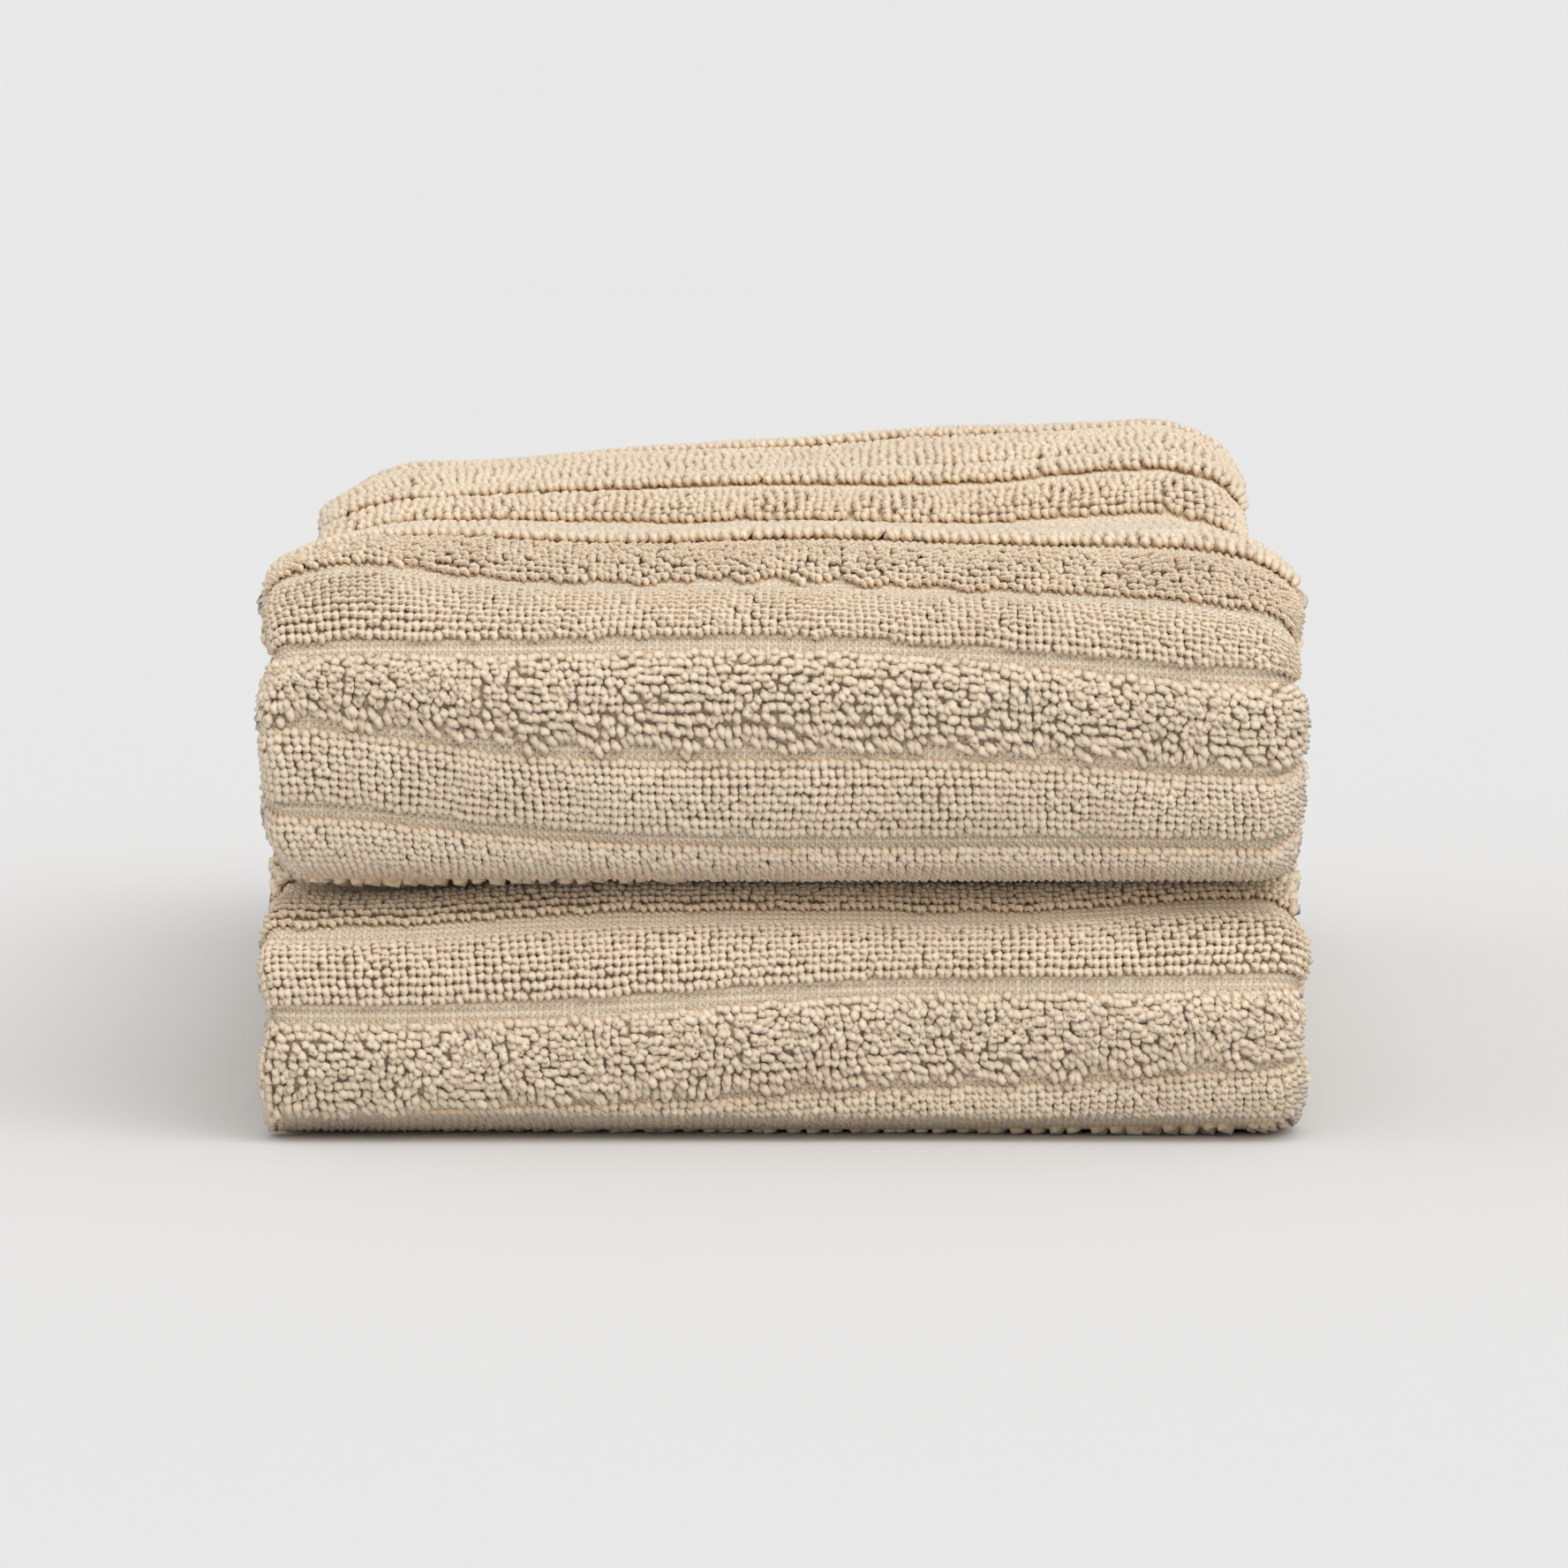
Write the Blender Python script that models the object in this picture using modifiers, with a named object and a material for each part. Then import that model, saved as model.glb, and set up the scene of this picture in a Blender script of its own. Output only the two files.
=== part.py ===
"""Two bath towels of ribbed terry, folded and stacked.

Each towel is cut as a rectangle. Both long sides are turned in to the middle and the
towel is halved on that line, which makes a strip four layers thick: one wide spine fold
on the right, two small folds on the left. The strip is then halved twice along its
length, so that one fold wraps the whole front, a second fold shows at the back above
the two hemmed ends, and the last fold opens like a book about the front edge.

Each half of that last fold is a leaf, a solid of its own, and the two leaves meet on the
towel's opening plane. Metres, +Z up, front towards -Y, right-hand side towards +X. The
origin is the centre of the stack's footprint, on the surface that it lies on.
"""

import math

import bmesh
import bpy

# The cloth
FLAT_WIDTH = 0.700  # each towel as it is cut, side to side
FLAT_LENGTH = 1.400  # and end to end
SIDES_SHORT_BY = 0.010  # the turned-in sides stop this far from the spine fold
LOWER_LAYER = 0.0028  # one layer of terry in the lower towel, pressed by the upper one
UPPER_LAYER = 0.0038  # one layer in the upper towel, with nothing on it
STRIP_LAYERS = 4  # layers in a strip, once the sides are turned in and it is halved

# Spaces between things that touch
RUN_GAP = 0.0004  # between two runs of one strip that lie on each other
TOWEL_GAP = 0.0004  # between the two towels
FIT_GAP = 0.0003  # between a thread or a label and the cloth

# The hem at each short end, woven without pile, so it is thinner than the terry
HEM_LENGTH = 0.022
HEM_INSET = 0.0011  # how far the hem lies below the terry, all round the strip
HEM_SLOPE = 0.0020  # length over which the terry drops to the hem
HEM_NOSE = 0.0008  # rounding of the end itself
HEM_STITCH_IN = 0.014  # the hem's line of stitching, in from the end
THREAD_RADIUS = 0.0003

# The care label, a blank tape doubled over and sewn into the inner end's hem
LABEL_WIDTH = 0.028
LABEL_THICKNESS = 0.0009
LABEL_SHOWS = 0.010  # beyond the hem
LABEL_SEWN_IN = 0.006  # inside the hem
LABEL_OFF_CENTRE = 0.045  # towards the left-hand side
LABEL_TACK_IN = 0.004  # its own line of stitching, in from the end

# The bond that keeps a bottom leaf's two runs together, where their pile interlocks
BOND_SIDE_MARGIN = 0.030
BOND_END_MARGIN = 0.040
BOND_SINK = 0.0006  # how far the bond reaches into each run

# How finely the folds are cut
SIDE_FOLD_STEPS = 6
SMALL_FOLD_STEPS = 5
TURN_STEPS = 10

COLOURS = {
    "terry": (0.62, 0.51, 0.35),
    "thread": (0.66, 0.56, 0.41),
    "label": (0.80, 0.76, 0.67),
}
ROUGHNESS = {"terry": 0.95, "thread": 0.60, "label": 0.70}


class Folded:
    """The sizes of one folded towel, worked out from its flat size and its layers."""

    def __init__(self, name, layer, base):
        self.name = name
        self.layer = layer
        self.strip = STRIP_LAYERS * layer
        self.width = self.folded_width()
        self.inner = (RUN_GAP + self.strip) / 2  # a leaf's inner run, from the opening plane
        self.outer = self.inner + self.strip + RUN_GAP
        self.leaf = self.outer + self.strip / 2
        self.base = base
        self.middle = base + self.leaf + RUN_GAP / 2
        self.top = self.middle + RUN_GAP / 2 + self.leaf
        self.back_turn = (self.outer - self.inner) / 2
        self.run = self.straight_run()
        self.depth = self.leaf + self.run + self.back_turn + self.strip / 2

    def folded_width(self):
        """Two small folds and the spine fold use cloth, and the rest is shared by four layers."""
        in_small_folds = 2 * math.pi * self.layer / 2
        in_spine = math.pi * 1.5 * self.layer
        straight = (FLAT_WIDTH - in_small_folds - in_spine + 2 * SIDES_SHORT_BY) / 4
        return straight + 2 * self.layer + self.layer

    def straight_run(self):
        """The front's outer and inner turns and the back turn use cloth, and four runs share the rest."""
        in_turns = math.pi * (self.outer + self.inner + self.back_turn)
        return (FLAT_LENGTH - in_turns) / 4

    def place(self, front):
        """Fixes the towel's places along Y from the front of the stack."""
        self.front = front
        self.turn_y = front + self.leaf
        self.end_y = self.turn_y + self.run


# ---------------------------------------------------------------- materials and scene


def clear_scene():
    for obj in list(bpy.data.objects):
        bpy.data.objects.remove(obj, do_unlink=True)


def new_collection(name, hidden=False):
    collection = bpy.data.collections.new(name)
    collection.hide_render = hidden
    bpy.context.scene.collection.children.link(collection)
    return collection


def make_material(name):
    material = bpy.data.materials.new(name)
    material.use_nodes = True
    shader = material.node_tree.nodes["Principled BSDF"]
    shader.inputs["Base Color"].default_value = (*COLOURS[name], 1.0)
    shader.inputs["Roughness"].default_value = ROUGHNESS[name]
    shader.inputs["Metallic"].default_value = 0.0
    return material


def add_object(name, data, collection, material=None):
    obj = bpy.data.objects.new(name, data)
    collection.objects.link(obj)
    if material:
        data.materials.append(material)
    return obj


def as_helper(obj):
    obj.hide_render = True
    obj.display_type = "WIRE"


# ---------------------------------------------------------------- the folded strip


def arc(centre, radius, start, end, steps):
    """Points on an arc in a plane, from one angle in degrees to another."""
    points = []
    for i in range(steps + 1):
        angle = math.radians(start + (end - start) * i / steps)
        points.append((centre[0] + radius * math.cos(angle), centre[1] + radius * math.sin(angle)))
    return points


def strip_outline(towel, inset=0.0, notched=True):
    """The strip cut across, as (across, through) points: spine on the right, two folds on the left."""
    right = towel.width / 2 - 2 * towel.layer
    left = -towel.width / 2 + towel.layer
    small = towel.layer - inset
    points = arc((right, 0.0), 2 * towel.layer - inset, -90, 90, SIDE_FOLD_STEPS)
    points += arc((left, towel.layer), small, 90, 240, SMALL_FOLD_STEPS)
    if notched:
        points.append((left, 0.0))
    points += arc((left, -towel.layer), small, 120, 270, SMALL_FOLD_STEPS)
    return points


def loft(name, stations):
    """A mesh through rings of equal length, capped at both ends."""
    mesh = bpy.data.meshes.new(name)
    build = bmesh.new()
    rings = [[build.verts.new(point) for point in ring] for ring in stations]
    for ring, following in zip(rings, rings[1:]):
        for i, vertex in enumerate(ring):
            j = (i + 1) % len(ring)
            build.faces.new((vertex, ring[j], following[j], following[i]))
    build.faces.new(rings[0])
    build.faces.new(rings[-1])
    bmesh.ops.recalc_face_normals(build, faces=build.faces)
    build.to_mesh(mesh)
    build.free()
    mesh.shade_smooth()
    mesh.set_sharp_from_angle(angle=math.radians(40))
    return mesh


def station(towel, y, z, angle, inset=0.0):
    """The strip's outline where its middle passes (y, z), with its outer side facing along angle."""
    out_y, out_z = math.cos(math.radians(angle)), math.sin(math.radians(angle))
    return [(across, y + out_y * through, z + out_z * through)
            for across, through in strip_outline(towel, inset)]


def turn(towel, centre, radius, start, end):
    """Stations round a turn about the X axis, the strip's outer side away from the centre."""
    found = []
    for i in range(TURN_STEPS + 1):
        angle = start + (end - start) * i / TURN_STEPS
        y = centre[0] + radius * math.cos(math.radians(angle))
        z = centre[1] + radius * math.sin(math.radians(angle))
        found.append(station(towel, y, z, angle))
    return found


def top_leaf_stations(towel):
    """From the front edge up over the top, round the back fold and forward to the inner turn."""
    plane = towel.middle + RUN_GAP / 2
    back_centre = (towel.end_y, plane + (towel.inner + towel.outer) / 2)
    over = turn(towel, (towel.turn_y, plane), towel.outer, 180, 90)
    back = turn(towel, back_centre, towel.back_turn, 90, -90)
    under = [station(towel, towel.turn_y + towel.inner * math.cos(math.radians(a)),
                     plane + towel.inner * math.sin(math.radians(a)), a + 180)
             for a in (90 + 90 * i / TURN_STEPS for i in range(TURN_STEPS + 1))]
    return over + back + under


def bottom_run_stations(towel, radius):
    """From the opening plane down round the front and back to the hemmed end."""
    plane = towel.middle - RUN_GAP / 2
    stations = turn(towel, (towel.turn_y, plane), radius, 180, 270)
    z = plane - radius
    for back_from_end, inset in (
        (HEM_LENGTH + HEM_SLOPE, 0.0),
        (HEM_LENGTH, HEM_INSET),
        (HEM_NOSE, HEM_INSET),
        (0.0, HEM_INSET + HEM_NOSE),
    ):
        stations.append(station(towel, towel.end_y - back_from_end, z, 270, inset))
    return stations


def add_boolean(obj, other, operation):
    modifier = obj.modifiers.new(f"{operation.lower()} {other.name}", "BOOLEAN")
    modifier.operation = operation
    modifier.solver = "EXACT"
    modifier.object = other


def block(name, low, high, collection):
    """A box between two corners, as a helper for a Boolean."""
    mesh = bpy.data.meshes.new(name)
    build = bmesh.new()
    bmesh.ops.create_cube(build, size=1.0)
    for vertex in build.verts:
        for axis in range(3):
            middle, side = (low[axis] + high[axis]) / 2, high[axis] - low[axis]
            vertex.co[axis] = middle + side * vertex.co[axis]
    build.to_mesh(mesh)
    build.free()
    obj = add_object(name, mesh, collection)
    as_helper(obj)
    return obj


def add_top_leaf(towel, parts, material):
    name = f"{towel.name}_top_leaf"
    return add_object(name, loft(name, top_leaf_stations(towel)), parts, material)


def add_bottom_leaf(towel, parts, helpers, material):
    """The outer run, with the inner run and the bond between them joined on."""
    name = f"{towel.name}_bottom_leaf"
    leaf = add_object(name, loft(name, bottom_run_stations(towel, towel.outer)), parts, material)
    inner_mesh = loft(f"{name}_inner_run", bottom_run_stations(towel, towel.inner))
    inner = add_object(f"{name}_inner_run", inner_mesh, helpers)
    as_helper(inner)
    z = towel.middle - RUN_GAP / 2 - (towel.inner + towel.outer) / 2
    reach = RUN_GAP / 2 + BOND_SINK
    half = towel.width / 2 - BOND_SIDE_MARGIN
    bond = block(
        f"{name}_bond",
        (-half, towel.turn_y + BOND_END_MARGIN, z - reach),
        (half, towel.end_y - BOND_END_MARGIN, z + reach),
        helpers,
    )
    add_boolean(leaf, bond, "UNION")
    add_boolean(leaf, inner, "UNION")
    return leaf


# ---------------------------------------------------------------- stitching and label


def add_thread(name, points, parts, material, cyclic):
    """A round thread along points, as one closed tube."""
    curve = bpy.data.curves.new(name, "CURVE")
    curve.dimensions = "3D"
    curve.bevel_depth = THREAD_RADIUS
    curve.bevel_resolution = 1
    curve.use_fill_caps = not cyclic
    spline = curve.splines.new("POLY")
    spline.points.add(len(points) - 1)
    for target, point in zip(spline.points, points):
        target.co = (*point, 1.0)
    spline.use_cyclic_u = cyclic
    return add_object(name, curve, parts, material)


def thread_inset():
    """A thread lies on the hem, clear of it, and stays below the terry."""
    return HEM_INSET - FIT_GAP - THREAD_RADIUS


def add_hem_stitching(towel, which, radius, parts, material):
    """The line of stitching round a strip's end, seen where it crosses the outer layers."""
    z = towel.middle - RUN_GAP / 2 - radius
    y = towel.end_y - HEM_STITCH_IN
    outline = strip_outline(towel, thread_inset(), notched=False)
    points = [(across, y, z - through) for across, through in outline]
    return add_thread(f"{towel.name}_{which}_hem_stitching", points, parts, material, True)


def add_care_label(towel, leaf, parts, helpers, material):
    """The label stands in a slot in the inner run's end."""
    z = towel.middle - RUN_GAP / 2 - towel.inner
    x = -LABEL_OFF_CENTRE
    half, thick = LABEL_WIDTH / 2, LABEL_THICKNESS / 2
    slot = block(
        f"{towel.name}_label_slot",
        (x - half - FIT_GAP, towel.end_y - LABEL_SEWN_IN - FIT_GAP, z - thick - FIT_GAP),
        (x + half + FIT_GAP, towel.end_y + LABEL_SHOWS, z + thick + FIT_GAP),
        helpers,
    )
    add_boolean(leaf, slot, "DIFFERENCE")
    name = f"{towel.name}_care_label"
    mesh = bpy.data.meshes.new(name)
    build = bmesh.new()
    bmesh.ops.create_cube(build, size=1.0)
    build.to_mesh(mesh)
    build.free()
    label = add_object(name, mesh, parts, material)
    length = LABEL_SEWN_IN + LABEL_SHOWS
    for vertex in mesh.vertices:
        vertex.co.x *= LABEL_WIDTH
        vertex.co.y *= length
        vertex.co.z *= LABEL_THICKNESS
    label.location = (x, towel.end_y - LABEL_SEWN_IN + length / 2, z)
    edge = label.modifiers.new("turned edge", "BEVEL")
    edge.width = LABEL_THICKNESS / 3
    edge.segments = 2
    return label


def add_label_stitching(towel, parts, material):
    """A short line of stitching over the label, on the hem's upper side."""
    z = towel.middle - RUN_GAP / 2 - towel.inner + towel.strip / 2 - thread_inset()
    y = towel.end_y - LABEL_TACK_IN
    half = LABEL_WIDTH / 2
    points = [(-LABEL_OFF_CENTRE - half, y, z), (-LABEL_OFF_CENTRE + half, y, z)]
    return add_thread(f"{towel.name}_label_stitching", points, parts, material, False)


def add_towel(towel, parts, helpers, materials):
    add_top_leaf(towel, parts, materials["terry"])
    leaf = add_bottom_leaf(towel, parts, helpers, materials["terry"])
    add_hem_stitching(towel, "outer", towel.outer, parts, materials["thread"])
    add_hem_stitching(towel, "inner", towel.inner, parts, materials["thread"])
    add_care_label(towel, leaf, parts, helpers, materials["label"])
    add_label_stitching(towel, parts, materials["thread"])


def main():
    clear_scene()
    parts = new_collection("bath_towel_set")
    helpers = new_collection("helpers", hidden=True)
    materials = {name: make_material(name) for name in COLOURS}
    lower = Folded("lower_towel", LOWER_LAYER, 0.0)
    upper = Folded("upper_towel", UPPER_LAYER, lower.top + TOWEL_GAP)
    front = -max(lower.depth, upper.depth) / 2
    for towel in (lower, upper):
        towel.place(front)
        add_towel(towel, parts, helpers, materials)


main()
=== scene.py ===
"""Two folded bath towels of ribbed terry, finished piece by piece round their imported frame.

Each towel is one sheet of ground cloth, folded to sixteen layers. The pile stands on it in
ribs: rows of two-ply yarn loops across the towel, with a flat woven groove between one rib
and the next. Everything is placed on the folded strip by two distances, across it and along
it, and then settled by the same soft shaping, so that cloth, pile and hems stay together.
"""

import math

import bpy
import numpy as np
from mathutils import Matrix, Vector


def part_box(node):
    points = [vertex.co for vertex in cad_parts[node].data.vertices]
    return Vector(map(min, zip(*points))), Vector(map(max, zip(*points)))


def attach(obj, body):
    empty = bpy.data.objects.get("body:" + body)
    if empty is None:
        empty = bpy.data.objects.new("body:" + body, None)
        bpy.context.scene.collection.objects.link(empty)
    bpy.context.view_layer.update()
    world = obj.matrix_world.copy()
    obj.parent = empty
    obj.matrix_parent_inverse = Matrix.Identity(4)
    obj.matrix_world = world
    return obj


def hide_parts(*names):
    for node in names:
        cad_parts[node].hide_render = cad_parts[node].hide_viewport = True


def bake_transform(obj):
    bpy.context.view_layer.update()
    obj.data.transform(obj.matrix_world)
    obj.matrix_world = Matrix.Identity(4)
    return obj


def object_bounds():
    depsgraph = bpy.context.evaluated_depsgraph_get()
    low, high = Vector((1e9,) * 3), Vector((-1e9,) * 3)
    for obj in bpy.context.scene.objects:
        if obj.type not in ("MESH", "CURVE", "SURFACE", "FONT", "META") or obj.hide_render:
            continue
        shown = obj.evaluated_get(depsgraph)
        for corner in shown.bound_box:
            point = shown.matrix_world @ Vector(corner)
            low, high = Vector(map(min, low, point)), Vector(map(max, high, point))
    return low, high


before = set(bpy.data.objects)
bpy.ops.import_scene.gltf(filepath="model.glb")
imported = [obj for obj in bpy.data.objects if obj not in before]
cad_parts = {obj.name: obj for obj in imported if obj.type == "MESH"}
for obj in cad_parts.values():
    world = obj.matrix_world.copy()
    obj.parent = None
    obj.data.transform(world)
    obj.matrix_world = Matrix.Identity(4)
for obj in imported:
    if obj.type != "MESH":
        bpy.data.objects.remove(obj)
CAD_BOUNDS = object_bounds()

bl_info = {
    "name": "Folded Bath Towels",
    "version": (1, 0, 0),
    "blender": (4, 5, 0),
    "location": "View3D > Sidebar > Towels",
    "description": "Builds a stack of two folded terry bath towels",
    "category": "Object",
}

MM = 0.001
FLAT_WIDTH, FLAT_LENGTH = 0.700, 1.400
LAYERS = 4  # in the strip that is folded along its length
RUN_GAP = 0.0004  # between two runs of the strip, as in the frame's solids
HEM_LENGTH = 0.022
HEM_INSET = 0.0011  # how far a hem lies under the terry round it
# The strip's stretches from its outer end to its inner end
ZONES = ("under", "front", "top", "back", "inside_top", "inside_fold", "inside_bottom")
INNER_FOLD = 5  # the stretch of which nothing shows
# How finely a loop of yarn is made, as (sides, rings)
FINE_YARN, PLAIN_YARN, HIDDEN_YARN, GROOVE_YARN = (8, 3), (5, 2), (4, 2), (6, 2)
# How many times the front loops' size they are elsewhere
TOP_SCALE, SIDE_SCALE, HIDDEN_SCALE = 1.25, 1.5, 2.35
TOP_FRONT_RIBS = 8  # ribs behind the front fold that make up the first half of the top
WIDE_RIB = 13  # the rib behind the front fold that is two ribs wide
REACH_LEFT, REACH_RIGHT = 135, 84  # degrees that the pile goes round the strip's folds
SIDE_REACHES_IN = 0.004  # how much of a rib's flat counts as its sides
ROOT_OVER_GROUND = 0.0002
FLOOR_CLEARANCE = 0.0001
CLEAR_OF_HEM = 0.004  # how near a groove may come to a hem
# The modelled loop: how full it stays towards its ends, its width and height, the height of
# the waist between its plies and how many sides it takes, and its twist in radians
YARN_FULLNESS, YARN_WIDTH, YARN_HEIGHT = 0.36, 1.18, 0.95
WAIST_HEIGHT, WAIST_SIDES, YARN_TWIST = 0.50, 8, 2.8
# A planted loop: how far it bends over and how late, how high its foot and its bend are, how
# much its weight lowers it, how far it skews, and its radius at the foot and what it gains
BEND, BEND_LATE = 0.92 * math.pi, 1.7
FOOT_HEIGHT, BEND_HEIGHT = 0.15, 1.05
DROOP_LOWERS, SKEW_ASIDE = 0.35, 0.16
FOOT_RADIUS, RADIUS_GAIN = 0.86, 0.24
# The picks in a groove: their rows, their height, and their radius in column pitches
GROOVE_ROWS, PICK_HEIGHT, PICK_RADIUS = 3, 0.0002, 0.41
# The upper towel's shaping: how far in from each side its top rounds off, by what share it
# drops there and how much more behind, the least share of its height that its edges keep, how
# far its front edge hangs over the lower towel, how far its left foot draws in and its left
# fold leans out, and by what share it spreads behind
SHOULDER, SHOULDER_DROP, DROP_BEHIND, LEAST_SHARE = 0.020, 0.19, 0.16, 0.30
FOOT_SAG, FOOT_DRAWN_IN, FOLD_LEAN, SPREAD = 0.0034, 0.0055, 0.0050, 0.025
# The lower towel's: how far its top's front is drawn back, and its foot stands off the floor
TOP_DRAWN_BACK, FOOT_CURL = 0.0040, 0.0022
# How deep the waves in the towels' sides, fronts and tops are
SIDE_WAVE, FRONT_WAVE, TOP_WAVE = 0.0011, 0.0006, 0.0008
# How the key light is turned and how wide it is, in degrees, and the colour of the sky
SUN_TURN, SUN_WIDTH, SKY = (30, 18, 0), 60, (1.0, 0.995, 0.985)

# Where the grooves cross the front fold, in degrees round it from level, at five places
# from the left side to the right, lowest groove first
FRONT_GROOVES = {
    "upper_towel": (
        (-71, -78, -81, -83, -83),
        (-35, -44, -47, -49, -49),
        (-4, -11.5, -14, -16.5, -19.5),
        (22, 22.5, 22.5, 18, 11),
        (77, 57, 59, 54, 40),
        (96, 94, 92, 91, 86),
    ),
    "lower_towel": (
        (-92, -88, -81, -77, -68),
        (-56, -43, -35, -31, -19),
        (0.5, 4.5, 9.5, 14.5, 17),
        (43, 48, 53, 58, 63),
        (84, 87, 90, 92, 94),
    ),
}
# How tousled the loops of each front rib are, lowest rib first
FRONT_TOUSLE = {
    "upper_towel": (0.3, 0.25, 1.0, 0.3, 0.7),
    "lower_towel": (0.3, 1.0, 0.25, 0.4),
}
# Height of the settled towel over its opening plane, as a share of the frame's, by the
# distance behind the front in millimetres: left side, middle and right side
SETTLED = {
    "upper_towel": (
        (0, 1.00, 1.00, 1.00),
        (3, 0.96, 0.95, 0.95),
        (8, 0.87, 0.85, 0.84),
        (14, 0.82, 0.78, 0.77),
        (22, 0.84, 0.82, 0.80),
        (31, 0.88, 0.87, 0.85),
        (50, 0.83, 0.84, 0.84),
        (80, 0.75, 0.77, 0.78),
        (120, 0.64, 0.66, 0.68),
        (170, 0.52, 0.53, 0.56),
        (215, 0.43, 0.43, 0.46),
        (232, 0.45, 0.46, 0.51),
        (242, 0.53, 0.57, 0.66),
        (252, 0.61, 0.68, 0.80),
        (270, 0.65, 0.73, 0.88),
        (288, 0.67, 0.79, 0.96),
        (306, 0.67, 0.82, 0.99),
        (330, 0.60, 0.75, 0.90),
        (366, 0.50, 0.62, 0.72),
    ),
    "lower_towel": (
        (0, 1.00, 1.00, 1.00),
        (5, 0.91, 0.91, 0.92),
        (9, 0.86, 0.87, 0.88),
        (15, 0.86, 0.87, 0.88),
        (22, 0.91, 0.92, 0.93),
        (38, 1.00, 1.00, 1.00),
        (366, 1.00, 1.00, 1.00),
    ),
}


# ------------ settings


def size_setting(name, description, default):
    return bpy.props.FloatProperty(
        name=name, description=description, default=default, precision=5, unit="LENGTH")


def colour_setting(name, description, *default):
    return bpy.props.FloatVectorProperty(
        name=name, description=description, subtype="COLOR", default=default)


class TOWELS_PG_terry(bpy.types.PropertyGroup):
    """Sizes of the terry's yarn and ribs."""

    column_pitch: size_setting(
        "Column pitch", "From one loop to the next across the towel", 0.00141)
    row_pitch: size_setting("Row pitch", "From one row of loops to the next", 0.00150)
    rib_pitch: size_setting("Rib pitch", "From one groove to the next", 0.0183)
    groove_width: size_setting("Groove width", "Width of the flat woven groove", 0.0042)
    yarn_radius: size_setting("Yarn radius", "Half the thickness of a two-ply loop", 0.00074)
    loop_length: size_setting(
        "Loop length", "How much of the towel's length a loop covers", 0.0020)
    loop_height: size_setting(
        "Loop height", "How far a loop's bend stands over its feet", 0.0010)
    ground_thickness: size_setting(
        "Ground thickness", "Thickness of the cloth that the loops stand on", 0.0012)
    hem_thickness: size_setting(
        "Hem thickness", "Thickness of the turned hem at each short end", 0.0021)


class TOWELS_PG_colours(bpy.types.PropertyGroup):
    """Colours of the yarn, the ground, the thread and the label, and the painted shade in the
    creases between a loop's plies.
    """

    loop: colour_setting("Loops", "Undyed cotton of the loops", 0.86, 0.722, 0.55)
    # Painted shade: a darker colour for the line between a loop's two plies, where shade falls
    # in the creases
    crease_shade: colour_setting(
        "Ply crease", "The line between a loop's two plies", 0.66, 0.49, 0.31)
    pick: colour_setting("Groove picks", "Cotton of the picks in the grooves", 0.79, 0.69, 0.56)
    ground: colour_setting("Ground", "Cotton of the woven ground", 0.82, 0.69, 0.51)
    thread: colour_setting("Thread", "Sewing thread of the hems", 0.76, 0.66, 0.50)
    label: colour_setting("Label tape", "Blank woven tape", 0.82, 0.78, 0.70)


class TOWELS_PG_stage(bpy.types.PropertyGroup):
    """The floor, the lights and the camera."""

    floor: colour_setting("Floor", "Colour of the floor", 0.733, 0.733, 0.735)
    camera_distance: size_setting(
        "Camera distance", "From the front of the stack to the camera", 1.75)
    camera_height: size_setting("Camera height", "Over the floor", 0.24)
    view_width: size_setting(
        "View width", "What the camera sees at the front of the stack", 0.277)
    view_middle: size_setting("View middle", "Height that the camera looks at", 0.0643)
    sun_strength: bpy.props.FloatProperty(
        name="Key light", description="Strength of the soft key light", default=1.35)
    sky_strength: bpy.props.FloatProperty(
        name="Fill light", description="Strength of the light from all round", default=0.76)


def terry():
    return bpy.context.scene.towel_terry


def colours():
    return bpy.context.scene.towel_colours


def stage():
    return bpy.context.scene.towel_stage


# ------------ smooth numbers


def between(x, xs, ys):
    """A smooth curve through points, flat at its ends."""
    x = np.clip(x, xs[0], xs[-1])
    i = np.clip(np.searchsorted(xs, x) - 1, 0, len(xs) - 2)
    xs, ys = np.asarray(xs, float), np.asarray(ys, float)
    slopes = np.gradient(ys, xs)
    slopes[0] = slopes[-1] = 0.0
    width = xs[i + 1] - xs[i]
    t = (x - xs[i]) / width
    return ((1 + 2 * t) * (1 - t) ** 2 * ys[i] + t * (1 - t) ** 2 * width * slopes[i]
            + t * t * (3 - 2 * t) * ys[i + 1] + t * t * (t - 1) * width * slopes[i + 1])


def rise(x, start, end):
    """From 0 at the start to 1 at the end, smoothly."""
    t = np.clip((x - start) / (end - start), 0, 1)
    return t * t * (3 - 2 * t)


def waves(points, size, seed, count=7):
    """Smooth noise from about -1 to 1, whose bumps are about size across."""
    random = np.random.default_rng(seed)
    found = np.zeros(len(points))
    for _ in range(count):
        turn = random.normal(size=points.shape[1])
        turn *= random.uniform(0.6, 1.5) * math.pi / size / np.linalg.norm(turn)
        found += np.sin(points @ turn + random.uniform(0, 2 * math.pi))
    return found / math.sqrt(count)


def unit(vectors):
    return vectors / np.maximum(np.linalg.norm(vectors, axis=1, keepdims=True), 1e-12)


# ------------ the folded strip


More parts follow.
